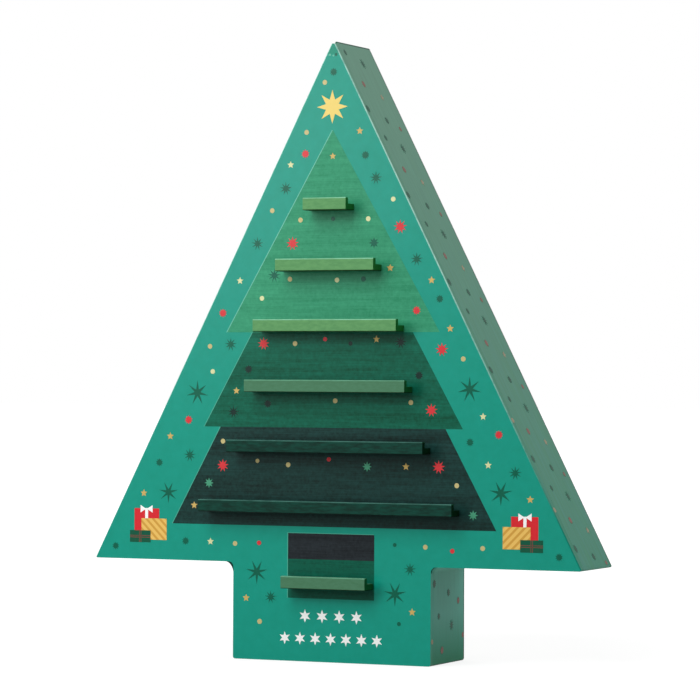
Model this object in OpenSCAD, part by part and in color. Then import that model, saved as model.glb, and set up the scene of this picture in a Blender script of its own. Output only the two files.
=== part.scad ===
// Tree-shaped wooden advent calendar.
// The box stands on the foot of its trunk. X runs to the right, Y to the back and Z up, and the
// origin is the middle of the foot. The front board carries seven ledges with a lip, where the
// day's wooden pieces are stood up. The back holds one drawer for each of the 24 days.

/* [Tree] */
// Height of the calendar
tree_h = 501; // [440:1:560]
// Width across the tips of the lowest branches
branch_w = 430.5; // [390:0.5:470]
// Height of the trunk, up to the underside of the branches
trunk_h = 79; // [70:1:95]
// Width of the trunk
trunk_w = 175; // [150:1:200]
// Width of the ridge at the top
top_w = 1.4; // [1:0.2:6]
// How far the front board's tip stays below the ridge
front_tip_drop = 2; // [1:0.5:4]
// Depth of the box, from the front board to the back
body_d = 70; // [58:1:90]

/* [Boards] */
// Thickness of the front board
front_t = 6; // [5:0.5:9]
// Thickness of the sides, the branch board and the boards of the trunk
board_t = 5; // [4:0.5:7]
// Thickness of the shelves between the rows
shelf_t = 5; // [4:0.5:7]
// Thickness of the dividers between the cells
divider_t = 4; // [3:0.5:6]
// Thickness of the infills at the ends of the rows
infill_t = 4; // [3:0.5:8]
// Depth of the housings that hold the dividers
housing_d = 1; // [0.6:0.1:1.5]
// Gap of a glued joint
glue_gap = 0.1; // [0.06:0.02:0.16]

/* [Corners] */
// Radius of the front board's hollow corners under the branches
front_cove_r = 4; // [2:0.5:8]
// Radius of the coves that follow them along the trunk sides
trunk_cove_r = 4.5; // [2:0.5:12]
// Radius of the lower corners of the trunk
foot_r = 2; // [1:0.5:3.5]
// Radius along the front board's sloping edges
front_edge_r = 1; // [0.5:0.25:2.5]
// Radius of the branch tips
tip_r = 1.2; // [0.4:0.2:2]
// Radius of the corners of the ridge and of the front board's tip
top_r = 0.5; // [0.2:0.1:0.6]

/* [Rows] */
// Height of the closed tip above the top row
tip_h = 75; // [64:1:90]
// Spare width between a row's end dividers and the sloping sides
row_end_gap = 1.5; // [0.5:0.5:4]

/* [Ledges] */
// Height of the lowest branch ledge above the underside of the branches
ledge_rise = 41; // [32:0.5:50]
// Height from one branch ledge to the next
ledge_pitch = 48.8; // [44:0.2:52]
// How far the ledges stand out from the front
ledge_out = 16.5; // [13:0.5:22]
// Thickness of the board of a ledge
ledge_board_t = 5; // [3:0.5:7]
// Thickness of the lip
lip_t = 5; // [3:0.5:7]
// Height of the lip
lip_h = 10; // [8:0.5:14]
// Radius along the long edges of the lip
lip_edge_r = 0.8; // [0.2:0.1:1.4]
// Depth of the grooves in the front board that the ledges are let into
ledge_groove_d = 2; // [1:0.5:3]
// How far the trunk ledge lies below the underside of the branches
trunk_ledge_drop = 19.5; // [16:0.5:30]
// Width of the trunk ledge
trunk_ledge_w = 74; // [60:1:120]

/* [Drawers] */
// Thickness of a drawer's front
drawer_front_t = 4; // [3:0.5:8]
// Radius of the corners of a drawer's front
drawer_corner_r = 1.5; // [0.5:0.5:4]
// Thickness of a drawer's sides and end
drawer_wall_t = 3; // [2:0.5:5]
// Thickness of a drawer's bottom
drawer_bottom_t = 2.5; // [1.5:0.5:4]
// How far the walls stay below the top of the front
drawer_rim_drop = 4; // [1:0.5:12]
// Running gap under a drawer
run_gap = 0.3; // [0.2:0.05:0.6]
// Gap at each side of a drawer
side_gap = 0.6; // [0.3:0.1:1.2]
// Gap above a drawer
top_gap = 0.8; // [0.4:0.1:2]
// Gap between a drawer's end and the front board, which stops it
end_gap = 0.5; // [0.3:0.1:0.9]

/* [Knobs] */
// Diameter of a knob's head
knob_d = 11; // [9:0.5:16]
// Thickness of a knob's head
knob_t = 6; // [4:0.5:8]
// Diameter of a knob's neck
neck_d = 5; // [4.5:0.5:7]
// Length of a knob's neck
neck_len = 3; // [1:0.5:6]
// Diameter of the pin that is glued into the front
pin_d = 3.5; // [2.5:0.5:4]

/* [Hidden] */
// Rows of drawers in the tree, one drawer more in each row down, and drawers in the trunk
row_count = 6;
trunk_count = 3;
branch_drawers = row_count * (row_count + 1) / 2;
day_count = branch_drawers + trunk_count;

// Branch ledges from the top down, each as a share of the tree's width at its height
ledge_width_shares = [0.269, 0.4545, 0.526, 0.488, 0.51, 0.574];
ledge_count = len(ledge_width_shares) + 1;

// Rounding of a knob's back and front edges, as shares of its head's thickness
knob_edge_shares = [0.2, 0.5];

// Cuts run past the surface by this much
over = 1;
// Flats on a rounded edge, and on a round piece
arc_steps = 6;
$fn = 48;

front_y = -body_d / 2;
inside_y = front_y + front_t;
carcass_y = inside_y + glue_gap;
back_y = body_d / 2;

side_slope = (branch_w - top_w) / 2 / (tree_h - trunk_h);
side_inset = board_t / cos(atan(side_slope));
branch_top = trunk_h + board_t;

row_pitch = (tree_h - tip_h - branch_top) / row_count;
cell_h = row_pitch - shelf_t;
cell_w = min([
    for (row = [1 : row_count])
        (2 * (inner_half(shelf_z(row) + housing_d) - row_end_gap) - (row + 1) * divider_t) / row
]);
cell_pitch = cell_w + divider_t;

trunk_inner_w = trunk_w - 2 * board_t;
trunk_pitch = (trunk_inner_w + divider_t) / trunk_count;
trunk_cell_w = trunk_pitch - divider_t;
trunk_cell_h = trunk_h - board_t;

drawer_y = inside_y + end_gap;
drawer_front_y = back_y - drawer_front_t;

function shelf_name(row) = str("row_shelf_", row);
function divider_name(row) = str("row_dividers_", row);
function ledge_name(place) = str("ledge_board_", place);
function lip_name(place) = str("ledge_lip_", place);
function drawer_name(day) = str("drawer_", day < 10 ? "0" : "", day);

// Half the width of the tree at a height, outside and inside its sloping boards
function outer_half(z) = top_w / 2 + (tree_h - z) * side_slope;
function inner_half(z) = outer_half(z) - side_inset;
// Height at which the inside is as narrow as the half width given
function inner_height(half) = tree_h - (half + side_inset - top_w / 2) / side_slope;

// Rows are counted from the top. A row's floor, and the underside of the shelf over it
function row_floor(row) = branch_top + (row_count - row) * row_pitch;
function shelf_z(row) = row_floor(row) + cell_h;
function divider_xs(row) = [for (k = [0 : row]) (k - row / 2) * cell_pitch];
function trunk_divider_xs() = [for (k = [1 : trunk_count - 1]) (k - trunk_count / 2) * trunk_pitch];
function row_half(row) = (row * cell_pitch + divider_t) / 2;

// The row that a day's drawer lies in. Days run from the top down, and in each row from the
// left as seen from behind, which is from +X to -X
function day_row(day) = ceil((sqrt(8 * day + 1) - 1) / 2);
function day_cell(day) =
    day > branch_drawers
    ? [((trunk_count + 1) / 2 - (day - branch_drawers)) * trunk_pitch, board_t, trunk_cell_w, trunk_cell_h]
    : let (row = day_row(day), place = day - row * (row - 1) / 2)
      [((row + 1) / 2 - place) * cell_pitch, row_floor(row), cell_w, cell_h];

// Underside and width of a ledge, counted from the top, with the trunk ledge last
function ledge_z(place) =
    place == ledge_count ? trunk_h - trunk_ledge_drop
    : trunk_h + ledge_rise + (ledge_count - 1 - place) * ledge_pitch;
function ledge_w(place) =
    place == ledge_count ? trunk_ledge_w
    : 2 * outer_half(ledge_z(place)) * ledge_width_shares[place - 1];

// The arc that rounds the corner b between a and c
function unit(v) = v / norm(v);
function corner_arc(a, b, c, r) =
    let (u = unit(a - b), w = unit(c - b), half = acos(u * w) / 2, turn = 180 - 2 * half)
    let (centre = b + unit(u + w) * r / sin(half))
    let (from = unit(b + u * r / tan(half) - centre), to = unit(b + w * r / tan(half) - centre))
    [for (k = [0 : arc_steps]) let (t = k / arc_steps)
        centre + r * (from * sin((1 - t) * turn) + to * sin(t * turn)) / sin(turn)];

// A closed outline whose corners are [point, radius], and sharp where the radius is zero
function rounded(corners) =
    let (n = len(corners))
    [for (k = [0 : n - 1])
        let (b = corners[k], a = corners[(k + n - 1) % n], c = corners[(k + 1) % n])
        each b[1] == 0 ? [b[0]] : corner_arc(a[0], b[0], c[0], b[1])];

function mirrored(points) = [for (k = [len(points) - 1 : -1 : 0]) [-points[k][0], points[k][1]]];

front_tip_z = tree_h - front_tip_drop;
front_outline = rounded([
    [[-trunk_w / 2, 0], foot_r],
    [[trunk_w / 2, 0], foot_r],
    [[trunk_w / 2, trunk_h], front_cove_r],
    [[branch_w / 2, trunk_h], tip_r],
    [[outer_half(front_tip_z), front_tip_z], top_r],
    [[-outer_half(front_tip_z), front_tip_z], top_r],
    [[-branch_w / 2, trunk_h], tip_r],
    [[-trunk_w / 2, trunk_h], front_cove_r]
]);

side_foot_z = branch_top + glue_gap;
side_outline = rounded([
    [[inner_half(side_foot_z), side_foot_z], 0],
    [[outer_half(side_foot_z), side_foot_z], 0],
    [[top_w / 2, tree_h], top_r],
    [[glue_gap / 2, tree_h], 0],
    [[glue_gap / 2, inner_height(glue_gap / 2)], 0]
]);

// The cove is a hollow quarter circle between the side of the trunk and the branch board
trunk_top_z = trunk_h - glue_gap;
cove_arc = [
    for (k = [0 : arc_steps])
        let (turn = 90 * k / arc_steps)
        [trunk_w / 2 + trunk_cove_r * (1 - cos(turn)), trunk_top_z - trunk_cove_r * (1 - sin(turn))]
];
trunk_outline = concat(
    rounded([
        [[trunk_w / 2 - board_t, trunk_top_z], 0],
        [[trunk_w / 2 - board_t, 0], 0],
        [[trunk_w / 2, 0], foot_r],
        [[trunk_w / 2, trunk_top_z - trunk_cove_r], 0]
    ]),
    [for (k = [1 : arc_steps]) cove_arc[k]]
);

// Stands an outline drawn in X and Z up between two depths
module through(y_from, y_to) {
    translate([0, y_to, 0]) rotate([90, 0, 0]) linear_extrude(y_to - y_from) children();
}

module block(low, high) {
    translate(low) cube(high - low);
}

// Room for the ends of upright dividers, sunk into a board whose surface lies at z
module housings(xs, z) {
    for (x = xs)
        block(
            [x - divider_t / 2 - glue_gap, carcass_y - over, z - housing_d],
            [x + divider_t / 2 + glue_gap, back_y + over, z + housing_d]
        );
}

module dividers(xs, floor_z, ceiling_z) {
    for (x = xs)
        block(
            [x - divider_t / 2, carcass_y, floor_z - housing_d + glue_gap],
            [x + divider_t / 2, back_y, ceiling_z + housing_d - glue_gap]
        );
}

// What is rounded off the right sloping edge of the front, along its whole length
module slope_rounding() {
    slope_len = norm([(branch_w - top_w) / 2, tree_h - trunk_h]);
    translate([branch_w / 2, front_y, trunk_h]) rotate([0, -atan(side_slope), 0])
        translate([0, 0, -over]) linear_extrude(slope_len + 2 * over) difference() {
            translate([-front_edge_r, -over]) square(front_edge_r + over);
            translate([-front_edge_r, front_edge_r]) circle(front_edge_r);
        }
}

module front_board() {
    color("#2fa08a") difference() {
        through(front_y, inside_y) polygon(front_outline);
        slope_rounding();
        mirror([1, 0, 0]) slope_rounding();
        for (place = [1 : ledge_count]) {
            half = ledge_w(place) / 2 + glue_gap;
            z = ledge_z(place);
            block(
                [-half, front_y - over, z - glue_gap],
                [half, front_y + ledge_groove_d + glue_gap, z + ledge_board_t + glue_gap]
            );
        }
    }
}

module side_left() {
    color("#5f8a7b") through(carcass_y, back_y) polygon(mirrored(side_outline));
}

module side_right() {
    color("#5f8a7b") through(carcass_y, back_y) polygon(side_outline);
}

module branch_board() {
    color("#5f8a7b") difference() {
        through(carcass_y, back_y) polygon(rounded([
            [[-branch_w / 2, trunk_h], tip_r],
            [[branch_w / 2, trunk_h], tip_r],
            [[outer_half(branch_top), branch_top], 0],
            [[-outer_half(branch_top), branch_top], 0]
        ]));
        housings(divider_xs(row_count), branch_top);
        housings(trunk_divider_xs(), trunk_h);
    }
}

module trunk_left() {
    color("#5f8a7b") through(carcass_y, back_y) polygon(mirrored(trunk_outline));
}

module trunk_right() {
    color("#5f8a7b") through(carcass_y, back_y) polygon(trunk_outline);
}

module trunk_base() {
    half = trunk_inner_w / 2 - glue_gap;
    color("#5f8a7b") difference() {
        block([-half, carcass_y, 0], [half, back_y, board_t]);
        housings(trunk_divider_xs(), board_t);
    }
}

// The shelf over a row, with its ends cut to the slope of the sides
module row_shelf(row) {
    low = shelf_z(row);
    high = low + shelf_t;
    half_low = inner_half(low) - glue_gap;
    half_high = inner_half(high) - glue_gap;
    color("#7d5f3c") difference() {
        through(carcass_y, back_y)
            polygon([[-half_low, low], [half_low, low], [half_high, high], [-half_high, high]]);
        housings(divider_xs(row), low);
        if (row > 1) housings(divider_xs(row - 1), high);
    }
}

module row_dividers(row) {
    color("#a8834f") dividers(divider_xs(row), row_floor(row), shelf_z(row));
}

module trunk_dividers() {
    color("#a8834f") dividers(trunk_divider_xs(), board_t, trunk_h);
}

// Closes the wedge between a row's last divider and the sloping side, and the tip of the tree
module back_infills() {
    color("#5f8a7b") through(back_y - infill_t, back_y) {
        for (row = [1 : row_count]) {
            near = row_half(row) + glue_gap;
            low = row_floor(row) + glue_gap;
            high = shelf_z(row) - glue_gap;
            wedge = [
                [near, low],
                [inner_half(low) - glue_gap, low],
                [inner_half(high) - glue_gap, high],
                [near, high]
            ];
            polygon(wedge);
            polygon(mirrored(wedge));
        }
        tip_low = tree_h - tip_h + glue_gap;
        tip_half = inner_half(tip_low) - glue_gap;
        polygon([[-tip_half, tip_low], [tip_half, tip_low], [0, inner_height(glue_gap)]]);
    }
}

module ledge_board(place) {
    half = ledge_w(place) / 2;
    z = ledge_z(place);
    color("#6b9f78") block(
        [-half, front_y - ledge_out + lip_t + glue_gap, z],
        [half, front_y + ledge_groove_d, z + ledge_board_t]
    );
}

module ledge_lip(place) {
    half = ledge_w(place) / 2;
    outer = front_y - ledge_out;
    low = ledge_z(place);
    color("#5b8f6c") translate([-half, 0, 0]) rotate([90, 0, 90]) linear_extrude(2 * half)
        polygon(rounded([
            [[outer, low], lip_edge_r],
            [[outer + lip_t, low], 0],
            [[outer + lip_t, low + lip_h], lip_edge_r],
            [[outer, low + lip_h], lip_edge_r]
        ]));
}

// A turned knob: a pin, a neck that stands on the front, and a head with a soft back edge and a
// round face. Its profile is drawn with the front's outer face at zero
knob_profile = rounded([
    [[0, glue_gap - drawer_front_t], 0],
    [[pin_d / 2, glue_gap - drawer_front_t], 0],
    [[pin_d / 2, glue_gap], 0],
    [[neck_d / 2, glue_gap], 0],
    [[neck_d / 2, neck_len], 0],
    [[knob_d / 2, neck_len], knob_t * knob_edge_shares[0]],
    [[knob_d / 2, neck_len + knob_t], knob_t * knob_edge_shares[1]],
    [[0, neck_len + knob_t], 0]
]);
module knob() {
    rotate([-90, 0, 0]) rotate_extrude() polygon(knob_profile);
}

// Front, two sides, end and bottom, glued edge to edge, with the knob in the front
module drawer(day) {
    cell = day_cell(day);
    half = cell[2] / 2 - side_gap;
    low = cell[1] + run_gap;
    high = cell[1] + cell[3] - top_gap;
    rim = high - drawer_rim_drop;
    knob_z = (low + high) / 2;
    wall_x = half - drawer_wall_t;
    tray_y = drawer_front_y - glue_gap;
    end_y = drawer_y + drawer_wall_t;
    translate([cell[0], 0, 0]) {
        color("#3d8f78") difference() {
            through(drawer_front_y, back_y) polygon(rounded([
                [[-half, low], drawer_corner_r],
                [[half, low], drawer_corner_r],
                [[half, high], drawer_corner_r],
                [[-half, high], drawer_corner_r]
            ]));
            translate([0, drawer_front_y - over, knob_z]) rotate([-90, 0, 0])
                cylinder(h = drawer_front_t + 2 * over, d = pin_d + 2 * glue_gap);
        }
        color("#d9b98a") {
            block([-half, drawer_y, low], [-wall_x, tray_y, rim]);
            block([wall_x, drawer_y, low], [half, tray_y, rim]);
            block([glue_gap - wall_x, drawer_y, low], [wall_x - glue_gap, end_y, rim]);
            block(
                [glue_gap - wall_x, end_y + glue_gap, low],
                [wall_x - glue_gap, tray_y, low + drawer_bottom_t]
            );
        }
        color("#c79a62") translate([0, back_y, knob_z]) knob();
    }
}

front_board();
side_left();
side_right();
branch_board();
trunk_left();
trunk_right();
trunk_base();
trunk_dividers();
back_infills();
for (row = [1 : row_count]) {
    row_shelf(row);
    row_dividers(row);
}
for (place = [1 : ledge_count]) {
    ledge_board(place);
    ledge_lip(place);
}
for (day = [1 : day_count])
    drawer(day);
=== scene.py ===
"""Wooden advent calendar in the shape of a tree, dressed for the photograph's view.

Lengths are metres, and mm where the layout of a print is given.
"""

import math

import bpy
from mathutils import Matrix, Vector


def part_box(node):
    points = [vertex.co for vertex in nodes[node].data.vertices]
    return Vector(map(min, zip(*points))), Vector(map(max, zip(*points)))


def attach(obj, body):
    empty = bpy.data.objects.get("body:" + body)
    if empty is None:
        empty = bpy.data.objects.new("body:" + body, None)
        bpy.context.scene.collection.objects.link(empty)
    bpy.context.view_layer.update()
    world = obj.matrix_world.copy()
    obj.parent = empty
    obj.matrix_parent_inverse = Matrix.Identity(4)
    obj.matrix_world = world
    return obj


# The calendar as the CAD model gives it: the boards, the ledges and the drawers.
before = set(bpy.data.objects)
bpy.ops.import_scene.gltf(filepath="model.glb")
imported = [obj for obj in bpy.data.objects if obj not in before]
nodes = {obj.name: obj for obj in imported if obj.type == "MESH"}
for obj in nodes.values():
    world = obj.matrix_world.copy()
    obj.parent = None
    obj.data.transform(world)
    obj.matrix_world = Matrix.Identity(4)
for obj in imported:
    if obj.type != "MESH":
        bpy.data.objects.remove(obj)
bpy.context.view_layer.update()
MM = 0.001

# The photographer's camera stands 2.7 m away, to the right of the front and level with the
# middle of the tree, with a long lens. It leans by a quarter of a degree.
CAMERA_SIDE = math.radians(24.252)
CAMERA_RISE = math.radians(-0.423)
CAMERA_LEAN = math.radians(0.266)
CAMERA_DISTANCE = 2.7333
CAMERA_AIM = Vector((0.016118, -0.035164, 0.251751))
LENS = 174.84
camera_data = bpy.data.cameras.new("camera")
camera_data.sensor_width = 36
camera_data.lens = LENS
camera_data.clip_start = 0.1
camera_data.clip_end = 60
camera = bpy.data.objects.new("camera", camera_data)
bpy.context.scene.collection.objects.link(camera)
bpy.context.scene.camera = camera
camera_back = Vector((
    math.sin(CAMERA_SIDE) * math.cos(CAMERA_RISE),
    -math.cos(CAMERA_SIDE) * math.cos(CAMERA_RISE),
    math.sin(CAMERA_RISE),
))
camera.matrix_world = (
    Matrix.Translation(CAMERA_AIM + camera_back * CAMERA_DISTANCE)
    @ camera_back.to_track_quat("Z", "Y").to_matrix().to_4x4()
    @ Matrix.Rotation(CAMERA_LEAN, 4, "Z")
)

# The sloping sides, the trunk's sides and the underside of the branches are board wrapped in
# printed paper. Its teal is duller than the front's, with fine streaks along the length of each
# side and dark lines along the ridge and the back edge. A painted sheen pales it towards the tip,
# painted light brightens the trunk's paper under the branches, and painted shade darkens it
# towards the foot, which ends in a painted contact shadow.
TREE_HEIGHT = 501 * MM
TRUNK_HEIGHT = 79 * MM
TRUNK_HALF = 87.5 * MM
BRANCH_HALF = 215.25 * MM
TOP_HALF = 0.7 * MM
FRONT_Y = -35 * MM
BACK_Y = 35 * MM
SIDE_SLOPE = math.atan((BRANCH_HALF - TOP_HALF) / (TREE_HEIGHT - TRUNK_HEIGHT))


def colour(code):
    """An sRGB hex colour as the linear one that Blender works in."""
    shares = [int(code[k:k + 2], 16) / 255 for k in (1, 3, 5)]
    return [s / 12.92 if s <= 0.04045 else ((s + 0.055) / 1.055) ** 2.4 for s in shares] + [1]


def add_node(tree, kind, settings, links=None):
    """Adds a shader node. A setting is one of its properties or sockets, and a link names a
    socket and what it reads: a node, whose first output is meant, or an output."""
    made = tree.nodes.new("ShaderNode" + kind)
    for key, value in settings.items():
        if isinstance(key, str) and key in made.bl_rna.properties:
            setattr(made, key, value)
        else:
            made.inputs[key].default_value = value
    for key, source in (links or {}).items():
        tree.links.new(source if hasattr(source, "is_linked") else source.outputs[0],
                       made.inputs[key])
    return made


def new_finish(name, settings):
    """A material with its shader, and the node that gives the piece's own coordinates."""
    finish = bpy.data.materials.new(name)
    finish.use_nodes = True
    tree = finish.node_tree
    tree.nodes.clear()
    shader = add_node(tree, "BsdfPrincipled", settings)
    add_node(tree, "OutputMaterial", {}, {"Surface": shader})
    place = add_node(tree, "TexCoord", {}).outputs["Object"]
    return finish, tree, shader, place


PRINT_GLOSS = {"Roughness": 0.28, "IOR": 1.5, "Specular IOR Level": 0.145}
SIDE_GLOSS = {"Roughness": 0.45, "IOR": 1.5, "Specular IOR Level": 0.165}
FOOT_ROUGHNESS = 0.58
BAND_LENGTH, BAND_WIDTH = 60 * MM, 4 * MM
STREAK_LENGTH, STREAK_WIDTH = 40 * MM, 1.2 * MM
SHEEN_FROM, SHEEN_TO = 80 * MM, 480 * MM
PAINTED_LIGHT_FROM, PAINTED_LIGHT_GAIN = 50 * MM, 1.25
BACK_LINE = 1.4 * MM
RIDGE_LINE = 1.2 * MM
FOOT_SHADOW = 1 * MM
FOOT_SHADE_HEIGHT = 40 * MM
TOOTH_WIDTH, TOOTH_DEPTH = 0.8 * MM, 0.02 * MM


def side_print(tree, place):
    """The colour of the paper on the sides: bands that lean to green or to blue, with fine streaks
    along them, a painted sheen that pales them towards the tip, and dark lines at the ridge and at
    the back edge. The trunk's paper is painted lighter, most under the branches, where shade falls,
    and painted shade darkens the paper towards the foot, with a painted contact shadow along it."""
    apart = add_node(tree, "SeparateXYZ", {}, {0: place})
    height, depth = apart.outputs["Z"], apart.outputs["Y"]
    outwards = add_node(tree, "Math", {"operation": "ABSOLUTE"}, {0: apart.outputs["X"]})
    across = add_node(tree, "Math", {"operation": "MULTIPLY", 1: -math.sin(SIDE_SLOPE)},
                      {0: outwards})
    along = add_node(tree, "Math", {"operation": "MULTIPLY_ADD", 1: math.cos(SIDE_SLOPE)},
                     {0: height, 2: across})
    length_way = add_node(tree, "CombineXYZ", {}, {"X": along, "Y": depth})
    wide = add_node(tree, "Mapping", {"Scale": (1 / BAND_LENGTH, 1 / BAND_WIDTH, 1)},
                    {"Vector": length_way})
    bands = add_node(tree, "TexNoise", {"Scale": 1, "Detail": 2}, {"Vector": wide})
    leaning = add_node(tree, "MapRange", {"From Min": 0.35, "From Max": 0.65}, {"Value": bands})
    paper = add_node(tree, "Mix", {"data_type": "RGBA", 6: colour("#2f8868"),
                                   7: colour("#338a77")}, {0: leaning})
    # Painted sheen: the paper is painted paler towards the tip.
    wear_and_sheen_share = add_node(tree, "MapRange", {"From Min": SHEEN_FROM, "From Max": SHEEN_TO},
                      {"Value": height})
    with_painted_sheen = add_node(tree, "Mix", {"data_type": "RGBA", 7: colour("#5f967e")},
                     {0: wear_and_sheen_share, 6: paper.outputs[2]})
    # Painted light: the trunk's paper is painted lighter than the slope's, and lighter still
    # towards the branches, where their shade falls.
    on_trunk = add_node(tree, "Math", {"operation": "LESS_THAN", 1: TRUNK_HEIGHT}, {0: height})
    painted_light_under_branches = add_node(tree, "MapRange", {"From Min": PAINTED_LIGHT_FROM, "From Max": TRUNK_HEIGHT,
                                        "To Min": 1, "To Max": PAINTED_LIGHT_GAIN}, {"Value": height})
    lit_trunk_paper = add_node(tree, "VectorMath", {"operation": "SCALE", 0: colour("#50ae9a")[:3]},
                           {"Scale": painted_light_under_branches})
    sheet = add_node(tree, "Mix", {"data_type": "RGBA"},
                     {0: on_trunk, 6: with_painted_sheen.outputs[2], 7: lit_trunk_paper})
    narrow = add_node(tree, "Mapping", {"Scale": (1 / STREAK_LENGTH, 1 / STREAK_WIDTH, 1)},
                      {"Vector": length_way})
    streaks = add_node(tree, "TexNoise", {"Scale": 1, "Detail": 3, "Roughness": 0.6},
                       {"Vector": narrow})
    streaked = add_node(tree, "MapRange", {"From Min": 0.3, "From Max": 0.7, "To Min": 0.88,
                                           "To Max": 1.08}, {"Value": streaks})
    grain = add_node(tree, "VectorMath", {"operation": "SCALE"},
                     {0: sheet.outputs[2], "Scale": streaked})
    # Dark lines along the back edge and the ridge, and a painted contact shadow along the foot.
    at_back = add_node(tree, "Math", {"operation": "GREATER_THAN", 1: BACK_Y - BACK_LINE},
                       {0: depth})
    at_ridge = add_node(tree, "Math", {"operation": "GREATER_THAN", 1: TREE_HEIGHT - RIDGE_LINE},
                        {0: height})
    painted_shade_at_foot = add_node(tree, "Math", {"operation": "LESS_THAN", 1: FOOT_SHADOW}, {0: height})
    ridge_and_foot_shadow = add_node(tree, "Math", {"operation": "MAXIMUM"}, {0: at_ridge, 1: painted_shade_at_foot})
    dark_lines_and_foot_shadow = add_node(tree, "Math", {"operation": "MAXIMUM"}, {0: at_back, 1: ridge_and_foot_shadow})
    # Painted shade: the paper darkens towards the foot, where the floor shades it.
    above_foot_shade = add_node(tree, "MapRange", {"From Min": 0, "From Max": FOOT_SHADE_HEIGHT},
                     {"Value": height})
    foot_shaded = add_node(tree, "Mix", {"data_type": "RGBA", 6: colour("#127d59")},
                      {0: above_foot_shade, 7: grain})
    edged = add_node(tree, "Mix", {"data_type": "RGBA", 7: colour("#17513f")},
                     {0: dark_lines_and_foot_shadow, 6: foot_shaded.outputs[2]})
    return edged.outputs[2], above_foot_shade, apart, outwards


side_paper, tree, shader, place = new_finish("offset_printed_paper_side", SIDE_GLOSS)
side_colour, above_foot_shade, _, _ = side_print(tree, place)
tree.links.new(side_colour, shader.inputs["Base Color"])
dulled = add_node(tree, "MapRange", {"From Min": 0, "From Max": 1, "To Min": FOOT_ROUGHNESS,
                                     "To Max": SIDE_GLOSS["Roughness"]}, {"Value": above_foot_shade})
tree.links.new(dulled.outputs[0], shader.inputs["Roughness"])
tooth = add_node(tree, "TexNoise", {"Scale": 1 / TOOTH_WIDTH, "Detail": 2}, {"Vector": place})
bump = add_node(tree, "Bump", {"Strength": 0.3, "Distance": TOOTH_DEPTH}, {"Height": tooth})
tree.links.new(bump.outputs[0], shader.inputs["Normal"])
for name in ("side_left", "side_right", "branch_board", "trunk_left", "trunk_right",
             "back_infills"):
    nodes[name].material_slots[0].material = side_paper

# The front board is faced with a printed sheet of card in a nearly even teal, darker over the tip
# where the paper laps. Its sloping edges are paler towards the top, partly worn and partly a
# painted highlight; the right one has a painted shadow line lower down, and the cut edges in the
# hollow corners under the branches carry painted shade.
CLOUD_WIDTH = 9 * MM
LAP_HEIGHT = 490.5 * MM
WEAR_AND_SHEEN_WIDTH = 6 * MM
WEAR_AND_SHEEN_FROM, WEAR_AND_SHEEN_TO = 110 * MM, 320 * MM
SHADOW_LINE_FROM, SHADOW_LINE_TO = 260 * MM, 150 * MM
CUT_ROUGHNESS = 0.5
FACE_DEPTH = 0.02 * MM
PALE_DEPTH = 0.8 * MM
SHADE_DEPTH = 1.6 * MM
COVE = 3.4 * MM
front_paper, tree, shader, place = new_finish("offset_printed_paper_front", PRINT_GLOSS)
edge_colour, _, apart, outwards = side_print(tree, place)
height, depth = apart.outputs["Z"], apart.outputs["Y"]
clouds = add_node(tree, "TexNoise", {"Scale": 1 / CLOUD_WIDTH, "Detail": 5, "Roughness": 0.6},
                  {"Vector": place})
ground = add_node(tree, "Mix", {"data_type": "RGBA", 6: colour("#0b8c77"), 7: colour("#139986")},
                  {0: clouds})
lapped = add_node(tree, "Math", {"operation": "GREATER_THAN", 1: LAP_HEIGHT}, {0: height})
sheet = add_node(tree, "Mix", {"data_type": "RGBA", 7: colour("#0f8870")},
                 {0: lapped, 6: ground.outputs[2]})
# The pale rim on the rounded sloping edges is partly wear and partly a painted highlight, strongest
# towards the top.
wear_and_sheen_share = add_node(tree, "TexNoise", {"Scale": 1 / WEAR_AND_SHEEN_WIDTH, "Detail": 3}, {"Vector": place})
with_wear_and_sheen = add_node(tree, "MapRange", {"From Min": 0.3, "From Max": 0.5, "To Min": 0.6, "To Max": 1},
                {"Value": wear_and_sheen_share})
upper = add_node(tree, "MapRange", {"From Min": WEAR_AND_SHEEN_FROM, "From Max": WEAR_AND_SHEEN_TO}, {"Value": height})
wear_and_sheen = add_node(tree, "Math", {"operation": "MULTIPLY"}, {0: upper, 1: with_wear_and_sheen})
# Painted shadow: a dark line down the lower part of the right edge, between the front and the side.
low = add_node(tree, "MapRange", {"From Min": SHADOW_LINE_FROM, "From Max": SHADOW_LINE_TO},
               {"Value": height})
on_right = add_node(tree, "Math", {"operation": "GREATER_THAN", 1: 0}, {0: apart.outputs["X"]})
shadow_line = add_node(tree, "Math", {"operation": "MULTIPLY"}, {0: low, 1: on_right})
with_shadow_line = add_node(tree, "Mix", {"data_type": "RGBA", 7: colour("#0d806b")},
                   {0: shadow_line, 6: sheet.outputs[2]})
rim = add_node(tree, "Mix", {"data_type": "RGBA", 7: colour("#a9d8cb")},
               {0: wear_and_sheen, 6: with_shadow_line.outputs[2]})
near = add_node(tree, "Math", {"operation": "LESS_THAN", 1: FRONT_Y + PALE_DEPTH}, {0: depth})
edge = add_node(tree, "Mix", {"data_type": "RGBA"}, {0: near, 6: edge_colour, 7: rim.outputs[2]})
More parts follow.
